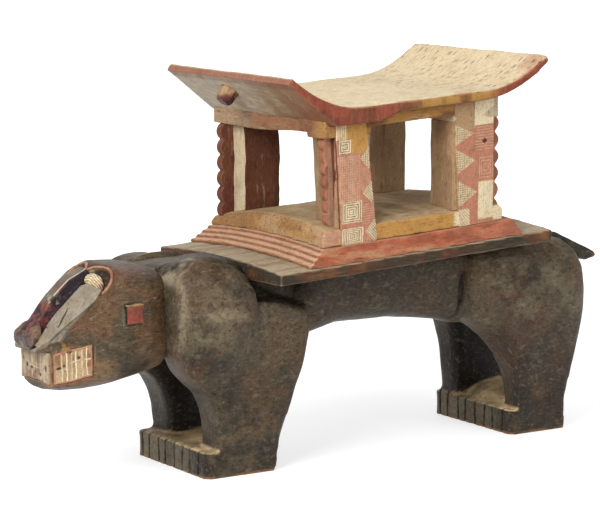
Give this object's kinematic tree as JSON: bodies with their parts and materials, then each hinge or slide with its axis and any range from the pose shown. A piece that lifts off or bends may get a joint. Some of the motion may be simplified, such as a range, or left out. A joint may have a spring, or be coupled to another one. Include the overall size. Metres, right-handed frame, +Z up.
{
  "type": "carved animal stool",
  "caption": "Carved wooden stool: a standing animal carries a small open house of posts on its back, topped by a saddle-shaped seat.",
  "frame": {"origin": "on the floor, under the middle of the whole object's box", "axes": "+Z up, -X towards the animal's nose, +X towards its tail, +Y towards the animal's own right"},
  "size_m": [0.841, 0.28, 0.485],
  "materials": {
    "dark_wood": "dark brown stained wood, worn and dusty on its arrises",
    "board_wood": "brown wood with a dull handled surface",
    "red_paint": "matt red earth paint, rubbed",
    "ochre_paint": "matt ochre paint, rubbed",
    "cream_paint": "matt cream paint over incised pattern",
    "pink_paint": "matt terracotta paint",
    "grey_panel": "pale grey-beige paint, smooth",
    "black_wood": "dark purple-brown polished wood",
    "seat_wood": "pale adzed wood with worn red edges"
  },
  "bodies": {
    "root": {"trunk": "dark_wood", "head": "dark_wood", "foreleg_left": "dark_wood", "foreleg_right": "dark_wood", "hindleg_left": "dark_wood", "hindleg_right": "dark_wood", "front_foot": "dark_wood", "rear_foot": "dark_wood", "tail": "dark_wood", "saddle_board": "board_wood", "stepped_base": "red_paint", "ear_rim_left": "red_paint", "ear_rim_right": "red_paint", "cheek_inlay_left": "red_paint", "cheek_inlay_right": "red_paint", "plinth": "ochre_paint", "rail_left": "ochre_paint", "rail_right": "ochre_paint", "seat_knob": "ochre_paint", "post_front_left": "cream_paint", "post_front_right": "cream_paint", "post_rear_left": "cream_paint", "post_rear_right": "cream_paint", "front_lintel": "cream_paint", "rear_lintel": "cream_paint", "front_teeth": "cream_paint", "side_teeth_left": "cream_paint", "side_teeth_right": "cream_paint", "ear_curl_left": "cream_paint", "ear_curl_right": "cream_paint", "fin_front_left": "pink_paint", "fin_front_right": "pink_paint", "fin_rear_left": "pink_paint", "fin_rear_right": "pink_paint", "eye_panel_left": "grey_panel", "eye_panel_right": "grey_panel", "nose": "black_wood", "nose_bridge": "black_wood", "seat": "seat_wood"}
  },
  "joints": []
}
